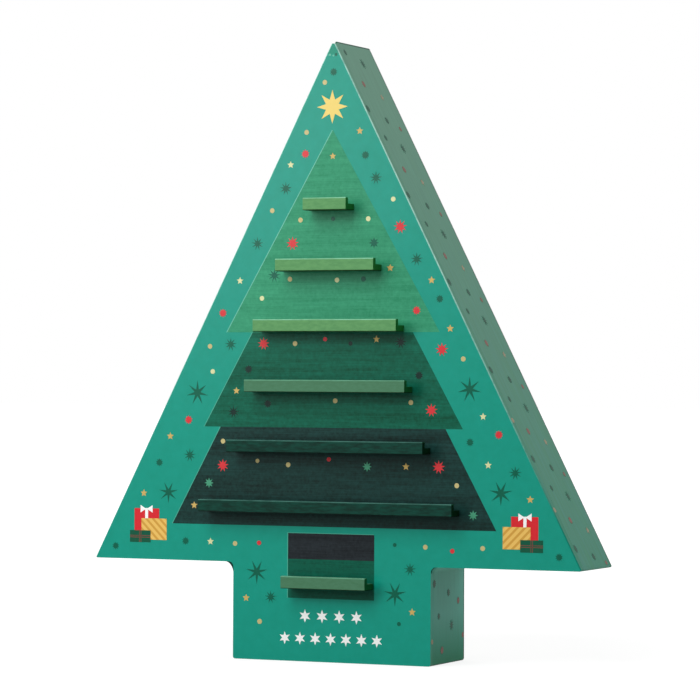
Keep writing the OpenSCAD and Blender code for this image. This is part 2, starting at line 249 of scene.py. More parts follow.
# Painted shade: the cut edge in each hollow corner under the branches is painted near black.
in_corner = add_node(tree, "Math", {"operation": "LESS_THAN", 1: TRUNK_HALF + COVE},
                     {0: outwards})
over_trunk = add_node(tree, "Math", {"operation": "COMPARE", 1: TRUNK_HEIGHT - COVE / 2,
                                     2: COVE / 2}, {0: height})
in_hollow = add_node(tree, "Math", {"operation": "MULTIPLY"}, {0: in_corner, 1: over_trunk})
shallow = add_node(tree, "Math", {"operation": "LESS_THAN", 1: FRONT_Y + SHADE_DEPTH},
                   {0: depth})
hollow_shade = add_node(tree, "Math", {"operation": "MULTIPLY"}, {0: in_hollow, 1: shallow})
cut_edge = add_node(tree, "Mix", {"data_type": "RGBA", 7: colour("#08261f")},
                    {0: hollow_shade, 6: edge.outputs[2]})
behind = add_node(tree, "Math", {"operation": "GREATER_THAN", 1: FRONT_Y + FACE_DEPTH},
                  {0: depth})
faced = add_node(tree, "Mix", {"data_type": "RGBA"},
                 {0: behind, 6: sheet.outputs[2], 7: cut_edge.outputs[2]})
tree.links.new(faced.outputs[2], shader.inputs["Base Color"])
smooth = add_node(tree, "MapRange", {"From Min": 0, "From Max": 1, "To Min": CUT_ROUGHNESS,
                                     "To Max": PRINT_GLOSS["Roughness"]}, {"Value": near})
tree.links.new(smooth.outputs[0], shader.inputs["Roughness"])
tooth = add_node(tree, "TexNoise", {"Scale": 1 / TOOTH_WIDTH, "Detail": 2}, {"Vector": place})
bump = add_node(tree, "Bump", {"Strength": 0.3, "Distance": TOOTH_DEPTH}, {"Height": tooth})
tree.links.new(bump.outputs[0], shader.inputs["Normal"])
nodes["front_board"].material_slots[0].material = front_paper

# A dark sheet of paper rounds each hollow corner under the branches further, more on the left,
# behind the edge of the front sheet: it paints the shade deep in the corner.
HOLLOW_FRONT = FRONT_Y + 0.3 * MM
HOLLOW_DEPTH = 1.5 * MM
CORNER = 1.03
OUTSIDE = -1e-4


def only(piece):
    """Selects one object alone and makes it the active one."""
    bpy.ops.object.select_all(action="DESELECT")
    piece.select_set(True)
    bpy.context.view_layer.objects.active = piece


def pick(chosen):
    """In edit mode, selects only the vertices that the test chooses."""
    mesh = bpy.context.object.data
    bpy.ops.object.mode_set(mode="OBJECT")
    for part in (*mesh.polygons, *mesh.edges, *mesh.vertices):
        part.select = False
    for vertex in mesh.vertices:
        vertex.select = chosen(vertex)
    bpy.ops.object.mode_set(mode="EDIT")


def raise_ink(depth):
    """Gives a flat outline its thickness, with all its faces turned outwards."""
    bpy.ops.mesh.select_all(action="SELECT")
    bpy.ops.mesh.extrude_region_move(TRANSFORM_OT_translate={"value": depth})
    bpy.ops.mesh.select_all(action="SELECT")
    bpy.ops.mesh.normals_make_consistent(inside=False)
    bpy.ops.object.mode_set(mode="OBJECT")


def settle(piece, name, finish):
    """Names a piece of print, places it in its mesh and lets it ride on the carcass."""
    only(piece)
    bpy.ops.object.transform_apply(location=True, rotation=True, scale=True)
    piece.name = piece.data.name = name
    piece.data.materials.clear()
    piece.data.materials.append(finish)
    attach(piece, "carcass")


shade_sheet_paper, tree, shader, place = new_finish(
    "dark_paper_painted_shade", {"Roughness": 0.8, "IOR": 1.5, "Specular IOR Level": 0.1})
fibres = add_node(tree, "TexNoise", {"Scale": 1 / TOOTH_WIDTH, "Detail": 2}, {"Vector": place})
shade_sheet_colour = add_node(tree, "Mix", {"data_type": "RGBA", 6: colour("#062a22"),
                                     7: colour("#0b3a2f")}, {0: fibres})
tree.links.new(shade_sheet_colour.outputs[2], shader.inputs["Base Color"])
for name, way, wide, high in (("left", -1, 7.6 * MM, 10.5 * MM), ("right", 1, 4.6 * MM, 5 * MM)):
    # A circle whose other three quarters are drawn together in the corner leaves a hollow fillet.
    bpy.ops.object.select_all(action="DESELECT")
    bpy.ops.mesh.primitive_circle_add(vertices=48, radius=1, fill_type="NGON")
    bpy.ops.object.mode_set(mode="EDIT")
    pick(lambda vertex: min(vertex.co.x, vertex.co.y) < OUTSIDE)
    bpy.ops.mesh.merge(type="CENTER")
    pick(lambda vertex: min(vertex.co.x, vertex.co.y) < OUTSIDE)
    bpy.ops.transform.resize(value=(0, 0, 0), center_override=(CORNER, CORNER, 0))
    raise_ink((0, 0, -1))
    shade_sheet = bpy.context.object
    shade_sheet.matrix_world = Matrix((
        (-way * wide, 0, 0, way * (TRUNK_HALF + wide)),
        (0, 0, -HOLLOW_DEPTH, HOLLOW_FRONT),
        (0, high, 0, TRUNK_HEIGHT - high),
        (0, 0, 0, 1)))
    settle(shade_sheet, f"hollow_shade_sheet_{name}", shade_sheet_paper)

# The paper on each sloping side runs on over the joint with the branch board: a strip of it, 0.03
# mm thick, bridges the gap between the two boards.
BRIDGE_HEIGHT = 84.5 * MM
BRIDGE_WIDTH = 5.6 * MM
BRIDGE_THICK = 0.03 * MM
BRIDGE_FRONT = FRONT_Y + 6 * MM
BRIDGE_BACK = BACK_Y - 0.1 * MM
for name, way in (("left", -1), ("right", 1)):
    out = TOP_HALF + (TREE_HEIGHT - BRIDGE_HEIGHT) * math.tan(SIDE_SLOPE)
    bpy.ops.object.select_all(action="DESELECT")
    bpy.ops.mesh.primitive_cube_add(
        size=1, rotation=(0, -way * SIDE_SLOPE, 0),
        location=(way * (out + BRIDGE_THICK / 2 * math.cos(SIDE_SLOPE)),
                  (BRIDGE_FRONT + BRIDGE_BACK) / 2,
                  BRIDGE_HEIGHT + BRIDGE_THICK / 2 * math.sin(SIDE_SLOPE)))
    strip = bpy.context.object
    strip.scale = (BRIDGE_THICK, BRIDGE_BACK - BRIDGE_FRONT, BRIDGE_WIDTH)
    settle(strip, f"wrap_bridge_{name}", side_paper)

# Three broad tiers of foliage are printed on the front, a triangle over two trapeziums, each
# darker than the one above. The print imitates brushed paint, with fine level strokes. The ink
# is a film of its own, drawn 0.06 mm thick.
INK = 0.06 * MM
MATT_INK = {"Roughness": 0.35, "IOR": 1.5, "Specular IOR Level": 0.1}
SINK = 0.04 * MM
STROKE_LENGTH, STROKE_HEIGHT = 40 * MM, 0.9 * MM
SWEEP_LENGTH, SWEEP_HEIGHT = 220 * MM, 7 * MM
MOTTLE_WIDTH = 2.6 * MM
STROKE_DEPTH = 0.02 * MM


def panel(low, high, thick, top_half=None):
    """A flat print on the front from corner to corner (X, Z), narrowed at its top if asked."""
    bpy.ops.object.select_all(action="DESELECT")
    middle = [(a + b) / 2 for a, b in zip(low, high)]
    bpy.ops.mesh.primitive_plane_add(
        size=1, location=(middle[0], FRONT_Y + SINK, middle[1]), rotation=(math.pi / 2, 0, 0))
    piece = bpy.context.object
    piece.scale = (high[0] - low[0], high[1] - low[1], 1)
    bpy.ops.object.transform_apply(location=True, rotation=True, scale=True)
    bpy.ops.object.mode_set(mode="EDIT")
    if top_half is not None:
        pick(lambda vertex: vertex.co.z > middle[1])
        share = 2 * top_half / (high[0] - low[0])
        bpy.ops.transform.resize(value=(share, 1, 1), center_override=(middle[0], 0, 0))
        if top_half == 0:
            bpy.ops.mesh.merge(type="CENTER")
    raise_ink((0, -SINK - thick, 0))
    return piece


def brushed_print(name, light, dark):
    """Ink that imitates brushed paint: fine level strokes in broader sweeps of the brush, under
    the mottle of the printed solid."""
    finish, tree, shader, place = new_finish(name, MATT_INK)
    fine = add_node(tree, "Mapping", {"Scale": (1 / STROKE_LENGTH, 1, 1 / STROKE_HEIGHT)},
                    {"Vector": place})
    strokes = add_node(tree, "TexNoise", {"Scale": 1, "Detail": 3, "Roughness": 0.6},
                       {"Vector": fine})
    broad = add_node(tree, "Mapping", {"Scale": (1 / SWEEP_LENGTH, 1, 1 / SWEEP_HEIGHT)},
                     {"Vector": place})
    sweeps = add_node(tree, "TexNoise", {"Scale": 1, "Detail": 1}, {"Vector": broad})
    mottle = add_node(tree, "TexNoise", {"Scale": 1 / MOTTLE_WIDTH, "Detail": 3,
                                         "Roughness": 0.65}, {"Vector": place})
    brushed = add_node(tree, "Mix", {"data_type": "FLOAT", 0: 0.45}, {2: strokes, 3: sweeps})
    both = add_node(tree, "Mix", {"data_type": "FLOAT", 0: 0.35}, {2: brushed, 3: mottle})
    spread = add_node(tree, "MapRange", {"From Min": 0.37, "From Max": 0.63}, {"Value": both})
    ink = add_node(tree, "Mix", {"data_type": "RGBA", 6: colour(dark), 7: colour(light)},
                   {0: spread})
    tree.links.new(ink.outputs[2], shader.inputs["Base Color"])
    bump = add_node(tree, "Bump", {"Strength": 0.25, "Distance": STROKE_DEPTH},
                    {"Height": strokes})
    tree.links.new(bump.outputs[0], shader.inputs["Normal"])
    return finish


tiers = (  # height of the base and of the top, and half the width at each, in mm
    (266.1, 429.3, 94.2, 0.0),
    (189.0, 266.1, 114.45, 70.9),
    (109.0, 189.0, 143.3, 99.6),
)
tier_inks = (("#3d9c76", "#26835e"), ("#0d6c55", "#014833"), ("#19413d", "#071e1a"))
for number, (outline, (light, dark)) in enumerate(zip(tiers, tier_inks), 1):
    low, high, half, top_half = outline
    tier = panel((-half * MM, low * MM), (half * MM, high * MM), INK, top_half * MM)
    settle(tier, f"printed_tier_{number}",
           brushed_print(f"brushed_green_ink_{number}", light, dark))

# Below the tiers a square of the same brushed print marks the trunk: near black at its top, and
# dark green from there down, past the trunk's ledge.
SQUARE_HALF = 38.2
SQUARE_FOOT = 51.0
for part, low, high, light, dark in (
    ("trunk_upper", 82.6, 103.5, "#272f34", "#11161a"),
    ("trunk_lower", SQUARE_FOOT, 82.6, "#06644e", "#014a39"),
):
    block = panel((-SQUARE_HALF * MM, low * MM), (SQUARE_HALF * MM, high * MM), INK)
    settle(block, f"printed_{part}", brushed_print(f"brushed_ink_{part}", light, dark))

# A pale first print shows as a hairline on the left of the tiers and of the square, where the
# darker inks were laid a little to the right of it.
HAIRLINE = 0.7
PATCH_WIDTH = 2 * MM


def flat_ink(name, code, dark_code, gloss=PRINT_GLOSS):
    """An opaque ink with the faint mottle of a printed solid."""
    finish, tree, shader, place = new_finish(name, gloss)
    mottle = add_node(tree, "TexNoise", {"Scale": 1 / PATCH_WIDTH, "Detail": 3},
                      {"Vector": place})
    ink = add_node(tree, "Mix", {"data_type": "RGBA", 6: colour(dark_code), 7: colour(code)},
                   {0: mottle})
    tree.links.new(ink.outputs[2], shader.inputs["Base Color"])
    return finish


hairlines = (*tiers, (SQUARE_FOOT, 104.0, SQUARE_HALF, SQUARE_HALF))
for number, (low, high, half, top_half) in enumerate(hairlines, 1):
    shades = ("#74c4ae", "#66b8a1") if number == 1 else ("#4fae97", "#45a58d")
    line = panel(((-half - HAIRLINE) * MM, low * MM), ((half - HAIRLINE) * MM, high * MM),
                 INK / 2, top_half * MM)
    settle(line, f"printed_hairline_{number}", flat_ink(f"pale_first_ink_{number}", *shades))

# The stars, bursts and dots are opaque inks printed over the ground. Each kind is cut once, as a
# circle whose every second corner is drawn in, and copied to its places.
STAR_INK = 0.12 * MM


def star(points, waist):
    """A star one metre in radius, lying flat with one point up, or a disc if its waist is one."""
    bpy.ops.object.select_all(action="DESELECT")
    bpy.ops.mesh.primitive_circle_add(vertices=2 * points, radius=1, fill_type="NGON")
    bpy.ops.object.mode_set(mode="EDIT")
    pick(lambda vertex: vertex.index % 2)
    bpy.ops.transform.resize(value=(waist, waist, 1), center_override=(0, 0, 0))
    raise_ink((0, 0, 1))
    return bpy.context.object


def on_front(x, z):
    """The place on the front board at X and Z in mm, facing forwards."""
    spot = Matrix.Translation((x * MM, FRONT_Y + SINK, z * MM))
    return spot @ Matrix.Rotation(math.pi / 2, 4, "X")


def print_all(name, finish, spots):
    """Copies printed shapes to their spots (shape, place, radius) and joins them in one piece."""
    copies = []
    for shape, spot, radius in spots:
        only(shape)
        bpy.ops.object.duplicate()
        copy = bpy.context.object
        copy.matrix_world = spot @ Matrix.Diagonal((radius * MM, radius * MM, STAR_INK + SINK, 1))
        copies.append(copy)
    for copy in copies:
        copy.select_set(True)
    bpy.context.view_layer.objects.active = copies[0]
    bpy.ops.object.join()
    settle(bpy.context.object, name, finish)


shapes = {
    "star": star(5, 0.47),
    "burst": star(10, 0.62),
    "bloom": star(8, 0.48),
    "spark": star(9, 0.35),
    "red_spark": star(9, 0.46),
    "big": star(7, 0.27),
    "dot": star(10, 1),
    "top": star(8, 0.45),
    "flake": star(6, 0.44),
}
# Kind, X and Z in mm and radius. A negative radius turns the star point down.
front_stars = {
    "stars_dark_green": ("opaque_ink_dark_green", "#02644d", "#005642", (
        ("burst", 0.4, 476, 3.4), ("burst", 28.8, 408.3, 3.6), ("burst", 94.1, 292.5, 3.4),
        ("burst", 120.6, 178.8, 3.4), ("burst", -155.8, 158.9, 3.4), ("burst", -131.3, 94.8, 3.4),
        ("burst", -196.2, 89.2, 3.3), ("burst", 196.2, 89.8, 3.3), ("dot", 2.5, 490, 1.2),
        ("dot", 56, 96, 1.6), ("dot", 60, 33, 1.7), ("spark", -41.7, 382.7, 5.6),
        ("spark", 38.2, 389.8, 5.6), ("spark", -67, 338.2, 5.6), ("spark", 74, 324.3, 5.6),
        ("spark", -90.8, 256.3, 5.6), ("spark", -127.8, 165.3, 5.6), ("spark", 159.1, 155, 5.6),
        ("spark", 69.4, 76.8, 5.4), ("spark", -53.6, 51.2, 5.4), ("big", -121, 216.6, 10.2),
        ("big", 120, 220.8, 10.2), ("big", 147, 138.9, -10), ("big", -147.3, 134.5, -9),
        ("big", -66.2, 71.1, -10), ("big", 56.4, 56.7, -10), ("bloom", 36.8, 337.7, 4.6),
        ("spark", -51.6, 312.2, 6), ("dot", 0.6, 357.5, 1.8), ("dot", 27.6, 308.8, 2.2))),
    "stars_near_black": ("opaque_ink_near_black", "#0d2d27", "#092620", (
        ("dot", 16.5, 257, 1.8), ("spark", 60.5, 258, 5.6), ("burst", -74.5, 236, 3.7),
        ("burst", 76.5, 231.5, 3.8), ("burst", -57, 208, 3.6), ("spark", -88, 201, 5.6))),
    "stars_red": ("opaque_ink_red", "#d83a3f", "#cf343a", (
        ("burst", -24.3, 410.4, 3.7), ("burst", -98, 281.8, 3.7), ("burst", -129, 194.3, 3.7),
        ("burst", 145.1, 185, 3.7), ("red_spark", 59.6, 350.4, 5.8),
        ("red_spark", 96.1, 252.2, 5.6), ("dot", -64.3, 94.8, 1.9), ("dot", 105.8, 92.3, 1.9),
        ("red_spark", -35.4, 338, 5.7), ("burst", 74.1, 283.4, 3.7), ("red_spark", -61, 256.8, 5.3),
        ("red_spark", 87.3, 203.9, 5.5), ("dot", -6, 260.5, 1.8), ("red_spark", -97.5, 157.3, 5.4),
        ("red_spark", 93.8, 158.7, 5.6), ("dot", -2.2, 163.6, 1.8))),
    "stars_gold": ("opaque_ink_gold", "#c8bc84", "#bfb278", (
        ("dot", -7.3, 467.8, 2), ("dot", -23.3, 427.8, 2), ("dot", -53.8, 364.9, 2),
        ("dot", -109.7, 254.6, 2), ("dot", 114.5, 244.8, 2), ("dot", -86, 93.8, 2),
        ("dot", 82.6, 94.9, 2), ("dot", 131.8, 95.1, 2), ("dot", -63.4, 31, 2.1),
        ("dot", -28.4, 356.9, 2), ("dot", -37.6, 309.1, 2), ("dot", -32.8, 256.9, 2),
        ("dot", 3.2, 210.8, 2), ("dot", 69.5, 209.9, 2), ("dot", -97.4, 177.1, 2),
        ("dot", -66.1, 161.5, 1.7), ("dot", -38.4, 158.7, 2), ("dot", 109.4, 144.3, 2))),
    "stars_deep_gold": ("opaque_ink_deep_gold", "#cfb269", "#c6a75d", (
        ("star", 23.8, 427.8, 3.2), ("star", 87, 307.4, 3.2), ("star", 103.2, 268.9, 3.2),
        ("star", -145.8, 180.7, 3.2), ("star", -170, 133.4, 3.2), ("star", 171.8, 134.4, 3.2),
        ("star", -75.7, 49.8, 3.2), ("star", 71.4, 42.8, 3.2), ("star", 0.1, 408, 2.9),
        ("star", 51, 317.5, 3.2), ("star", 39.3, 260.4, 3.1), ("star", -85.4, 218.4, 3.1),
        ("star", -123.5, 124.3, 3.2), ("star", 65.5, 158.7, 3.2))),
    "stars_pale": ("opaque_ink_pale_yellow", "#dcdfaa", "#d3d69e", (
        ("dot", 53.4, 372.5, 2), ("dot", -107.1, 234, 2), ("star", -37.4, 401.8, 3.1),
        ("star", -82.6, 308.1, 3.1), ("star", 131.7, 199.2, 3.1), ("star", 136.2, 160.9, 3.1),
        ("star", -108.4, 94.9, 3.1), ("dot", 31.6, 357.1, 2), ("dot", -62.7, 293.7, 2),
        ("dot", 4.3, 308.1, 2))),
    "stars_light_green": ("opaque_ink_light_green", "#4a9d7b", "#439472", (
        ("bloom", -110, 142.8, 4.2), ("bloom", 31.6, 158.2, 4.2), ("bloom", 123.5, 121, 4.2))),
    "stars_pale_green": ("opaque_ink_pale_green", "#66b8a0", "#5cae96", (
        ("dot", -3, 489.8, 1), ("dot", 0.2, 489.2, 0.8))),
    "star_at_top": ("opaque_ink_yellow", "#ead076", "#e6cb6c", (("top", -0.5, 447.9, 13.6),)),
}
for name, (ink_name, code, dark_code, places) in front_stars.items():
    spots = [
        (shapes[kind], on_front(x, z) @ Matrix.Rotation(math.pi if radius < 0 else 0, 4, "Z"),
         abs(radius))
        for kind, x, z, radius in places
    ]
    print_all(name, flat_ink(ink_name, code, dark_code), spots)

# The paper on the sides repeats one group of eight small prints up the slope, a little nearer the
# front each time, and has a like group on the trunk. None hangs over the rounded edge of the
# front. Both sides have them.
GROUP_REPEAT = 78.4
GROUP_DRIFT = -1.2
GROUPS = 7
SIDE_DEPTH = 70
MARGIN = 0.5
FRONT_MARGIN = 1.2
SIDE_LENGTH = (TREE_HEIGHT - TRUNK_HEIGHT) / math.cos(SIDE_SLOPE) / MM
side_group = (  # kind, depth from the front and distance up in mm, radius, ink
    ("burst", 9.2, 19.5, 3.6, "dark"), ("burst", 40, 11, 3.3, "dark"),
    ("burst", 19.7, -6.4, 2.8, "dark"), ("spark", 46.7, -14.4, 4.6, "dark"),
    ("burst", 26.5, 43.5, 3.3, "red"), ("burst", 61, 4.7, 2.4, "red"),
    ("star", 53.5, 33.5, 3.2, "gold"), ("dot", 2.6, -25, 2.2, "gold"),
)
trunk_group = (
    ("burst", 7, 65.5, 3.7, "dark"), ("burst", 36.5, 57, 3.4, "dark"),
    ("burst", 16.5, 39, 2.9, "dark"), ("spark", 43, 30.5, 4.8, "dark"),
    ("burst", 57, 49.5, 3.1, "red"), ("burst", 23.5, 11.5, 3.5, "red"),
    ("dot", 3, 19.5, 2, "gold"), ("dot", 67, 21, 2.2, "red"),
)
side_inks = {
    "dark": flat_ink("opaque_ink_side_dark", "#145c46", "#0f523d", SIDE_GLOSS),
    "red": flat_ink("opaque_ink_side_red", "#8c5f55", "#83584e", SIDE_GLOSS),
    "gold": flat_ink("opaque_ink_side_gold", "#a09478", "#988c70", SIDE_GLOSS),
}
spots = {ink: [] for ink in side_inks}
for way in (1, -1):
    tilt = Matrix.Rotation(way * (math.pi / 2 - SIDE_SLOPE), 4, "Y")
    out = tilt @ Vector((0, 0, 1))
    up = Vector((-way * math.sin(SIDE_SLOPE), 0, math.cos(SIDE_SLOPE)))
    corner = Vector((way * BRANCH_HALF, FRONT_Y, TRUNK_HEIGHT))
    for group in range(GROUPS):
        for kind, depth, rise, radius, ink in side_group:
            drifted, rise = depth + group * GROUP_DRIFT, rise + group * GROUP_REPEAT
            depth = max(drifted, radius + FRONT_MARGIN)
            on_board = 0 < drifted < SIDE_DEPTH - radius - MARGIN
            if on_board and radius + MARGIN < rise < SIDE_LENGTH - radius - MARGIN:
                place = corner + up * rise * MM + Vector((0, depth * MM, 0)) - out * SINK
                spots[ink].append((shapes[kind], Matrix.Translation(place) @ tilt, radius))
    upright = Matrix.Rotation(way * math.pi / 2, 4, "Y")
    for kind, depth, height, radius, ink in trunk_group:
        place = Vector((way * (TRUNK_HALF - SINK), FRONT_Y + depth * MM, height * MM))
        spots[ink].append((shapes[kind], Matrix.Translation(place) @ upright, radius))
for ink, finish in side_inks.items():
    print_all(f"side_stars_{ink}", finish, spots[ink])

# In each lower corner a stack of three presents is printed: a red one with a white bow behind, a
# gold striped one, and a green one with a fine red cross in front. The right stack mirrors the
# left one, and each print lies one coat of ink higher than the one behind it.
COAT = 0.03
BOW_HALF, BOW_LENGTH, BOW_REACH = 3.1, 5.2, 5.6
KNOT_X, KNOT_HEIGHT = -167.5, 120.4
STRIPE_PITCH = 6.3


def join_all(pieces, name, finish):
    """Joins pieces of print in one."""
    only(pieces[0])
    for piece in pieces[1:]:
        piece.select_set(True)
    bpy.ops.object.join()
    settle(bpy.context.object, name, finish)


def both_sides(x_low, z_low, x_high, z_high, coats):
    """A rectangle of print in mm on the left stack, and its mirror image on the right one."""
    return [
        panel((min(way * x_low, way * x_high) * MM, z_low * MM),
              (max(way * x_low, way * x_high) * MM, z_high * MM), coats * COAT * MM)
        for way in (1, -1)
    ]


join_all(both_sides(-178.7, 95, -155.8, 120.8, 2), "present_red",
         flat_ink("opaque_ink_present_red", "#d92c34", "#d2272f"))
bows = both_sides(-168.8, 110, -166.1, 121, 3)
for way in (1, -1):
    for side in (1, -1):
        bow = panel((-BOW_HALF * MM, 0), (BOW_HALF * MM, BOW_LENGTH * MM), 4 * COAT * MM, 0)
        knot = Vector((way * KNOT_X * MM, 0, KNOT_HEIGHT * MM))
        bow.matrix_world = (Matrix.Translation(knot + Vector((side * BOW_REACH * MM, 0, 0)))
                            @ Matrix.Rotation(-side * math.pi / 2, 4, "Y"))
        bows.append(bow)
join_all(bows, "present_bow", flat_ink("opaque_ink_white_bow", "#fdfefd", "#f6f7f5"))

gold_paper, tree, shader, place = new_finish("opaque_ink_gold_stripes", PRINT_GLOSS)
apart = add_node(tree, "SeparateXYZ", {}, {0: place})
outwards = add_node(tree, "Math", {"operation": "ABSOLUTE"}, {0: apart.outputs["X"]})
slant = add_node(tree, "Math", {"operation": "SUBTRACT"}, {0: apart.outputs["Z"], 1: outwards})
repeats = add_node(tree, "Math", {"operation": "MULTIPLY", 1: 1 / (STRIPE_PITCH * MM)},
                   {0: slant})
share = add_node(tree, "Math", {"operation": "FRACT"}, {0: repeats})
band = add_node(tree, "Math", {"operation": "LESS_THAN", 1: 0.42}, {0: share})
stripes = add_node(tree, "Mix", {"data_type": "RGBA", 6: colour("#e9bf64"), 7: colour("#d19c43")},
                   {0: band})
tree.links.new(stripes.outputs[2], shader.inputs["Base Color"])
join_all(both_sides(-172.2, 95, -148.8, 112.6, 4), "present_gold", gold_paper)
join_all(both_sides(-182.8, 92.8, -163.6, 102.6, 5), "present_green",
         flat_ink("opaque_ink_present_green", "#08583f", "#054e38"))
cross = []
for line in (-0.9, 0.5):
    cross += both_sides(-182.8, 97.6 + line, -163.6, 98.0 + line, 6)
    cross += both_sides(-173.3 + line, 92.8, -172.9 + line, 102.6, 6)
join_all(cross, "present_ribbon_red", flat_ink("opaque_ink_ribbon_red", "#8f4440", "#853d39"))

# Two rows of plain white flakes close the front's print on the trunk, four under the ledge and
# seven near the foot.
flake_rows = (  # height in mm, count, pitch and radius in mm
    (36.8, 4, 15.2, 5.4),
    (18.6, 7, 13.6, 5.2),
)
for row, (height, count, pitch, radius) in enumerate(flake_rows, 1):
    flakes = []
    for k in range(count):
        x = (k - (count - 1) / 2) * pitch
        flakes.append((shapes["flake"], on_front(x, height), radius))
    print_all(f"white_flakes_{row}",
              flat_ink(f"opaque_ink_white_{row}", "#fafcfa", "#f2f5f2"), flakes)

for shape in shapes.values():
    bpy.data.objects.remove(shape)

# The ledges are strips of painted fibreboard: a board let into the front, and a lip glued on its
# front edge. The light ones were rolled and the dark ones brushed. A painted highlight, broken by
# noise, pales the top of the lips, and painted shade darkens them underneath and on the cut ends.
LEDGE_GLOSS = {"Roughness": 0.5, "IOR": 1.5, "Specular IOR Level": 0.1}
LEDGE_PITCH = 48.8 * MM
FIRST_LEDGE = 120 * MM
TRUNK_LEDGE = 59.5 * MM
LIP_TOP = 9.2 * MM
LIP_FOOT = 0.5 * MM
ROLLED = (5 * MM, 2 * MM)
BRUSHED = (8 * MM, 1.8 * MM)
HIGHLIGHT_NOISE_LENGTH = 12 * MM
MARK_DEPTH = 0.05 * MM


def ledge_paint(name, first, light, dark, highlight_code, marked):
    """Satin paint marked by the roller or the brush (length and height of the marks), for ledges
    that repeat every LEDGE_PITCH from the height of the first."""
    finish, tree, shader, place = new_finish(name, LEDGE_GLOSS)
    length, width = marked
    stretched = add_node(tree, "Mapping", {"Scale": (1 / length, 1 / width, 1 / width)},
                         {"Vector": place})
    marks = add_node(tree, "TexNoise", {"Scale": 1, "Detail": 3, "Roughness": 0.6},
                     {"Vector": stretched})
    spread = add_node(tree, "MapRange", {"From Min": 0.35, "From Max": 0.65}, {"Value": marks})
    paint = add_node(tree, "Mix", {"data_type": "RGBA", 6: colour(dark), 7: colour(light)},
                     {0: spread})
    apart = add_node(tree, "SeparateXYZ", {}, {0: place})
    raised = add_node(tree, "Math", {"operation": "SUBTRACT", 1: first}, {0: apart.outputs["Z"]})
    rise = add_node(tree, "Math", {"operation": "FLOORED_MODULO", 1: LEDGE_PITCH}, {0: raised})
    # Painted highlight: the top of each lip is painted paler, broken by noise.
    at_top = add_node(tree, "Math", {"operation": "GREATER_THAN", 1: LIP_TOP}, {0: rise})
    uneven = add_node(tree, "Mapping", {"Scale": (1 / HIGHLIGHT_NOISE_LENGTH, 1, 1)}, {"Vector": place})
    highlight_noise = add_node(tree, "TexNoise", {"Scale": 1, "Detail": 2}, {"Vector": uneven})
    wear_and_sheen_share = add_node(tree, "MapRange", {"From Min": 0.3, "From Max": 0.6, "To Min": 0.4},
                      {"Value": highlight_noise})
    wear_and_sheen = add_node(tree, "Math", {"operation": "MULTIPLY"}, {0: at_top, 1: wear_and_sheen_share})
    with_wear_and_sheen = add_node(tree, "Mix", {"data_type": "RGBA", 7: colour(highlight_code)},
                    {0: wear_and_sheen, 6: paint.outputs[2]})
    # Painted shade: the undersides are painted darker.
    painted_shade_at_foot = add_node(tree, "Math", {"operation": "LESS_THAN", 1: LIP_FOOT}, {0: rise})
    with_underside_shade = add_node(tree, "Mix", {"data_type": "RGBA", "blend_type": "MULTIPLY",
                                    7: colour("#6a7f6a")}, {0: painted_shade_at_foot, 6: with_wear_and_sheen.outputs[2]})
    # Painted shade: the cut ends, which face sideways, are painted darker.
    normal = add_node(tree, "NewGeometry", {}).outputs["True Normal"]
    facing = add_node(tree, "SeparateXYZ", {}, {0: normal})
    sideways = add_node(tree, "Math", {"operation": "ABSOLUTE"}, {0: facing.outputs["X"]})
    shaded_end = add_node(tree, "Math", {"operation": "GREATER_THAN", 1: 0.9}, {0: sideways})
    whole = add_node(tree, "Mix", {"data_type": "RGBA", "blend_type": "MULTIPLY",
                                   7: colour("#59b978")}, {0: shaded_end, 6: with_underside_shade.outputs[2]})
    tree.links.new(whole.outputs[2], shader.inputs["Base Color"])
    bump = add_node(tree, "Bump", {"Strength": 0.4, "Distance": MARK_DEPTH}, {"Height": marks})
    tree.links.new(bump.outputs[0], shader.inputs["Normal"])
    return finish


light_paint = ledge_paint("satin_paint_light_green", FIRST_LEDGE,
                          "#629a62", "#58905b", "#7fc09c", ROLLED)
grey_paint = ledge_paint("satin_paint_grey_green", FIRST_LEDGE,
                         "#4b7c5e", "#467657", "#5f9a7c", ROLLED)
trunk_paint = ledge_paint("satin_paint_grey_green_trunk", TRUNK_LEDGE,
                          "#4b7c5e", "#467657", "#5f9a7c", ROLLED)
dark_paint = ledge_paint("satin_paint_dark_green", FIRST_LEDGE,
                         "#063f33", "#022920", "#3a6a5f", BRUSHED)
ledge_paints = 3 * [light_paint] + [grey_paint] + 2 * [dark_paint] + [trunk_paint]
for number, paint in enumerate(ledge_paints, 1):
    for part in ("board", "lip"):
        nodes[f"ledge_{part}_{number}"].material_slots[0].material = paint

# The shelves, dividers and foot inside are bare birch plywood, whose plies show on the edges at
# the back.
SHELF_THICK = 5 * MM
DIVIDER_THICK = 4 * MM
LOWEST_SHELF = 138.5 * MM
ROW_PITCH = 57 * MM
CELL_PITCH = 58.884 * MM
TRUNK_PITCH = 56.333 * MM
CORE_SHARE = 0.22
GRAIN_LENGTH, GRAIN_WIDTH = 25 * MM, 1.5 * MM


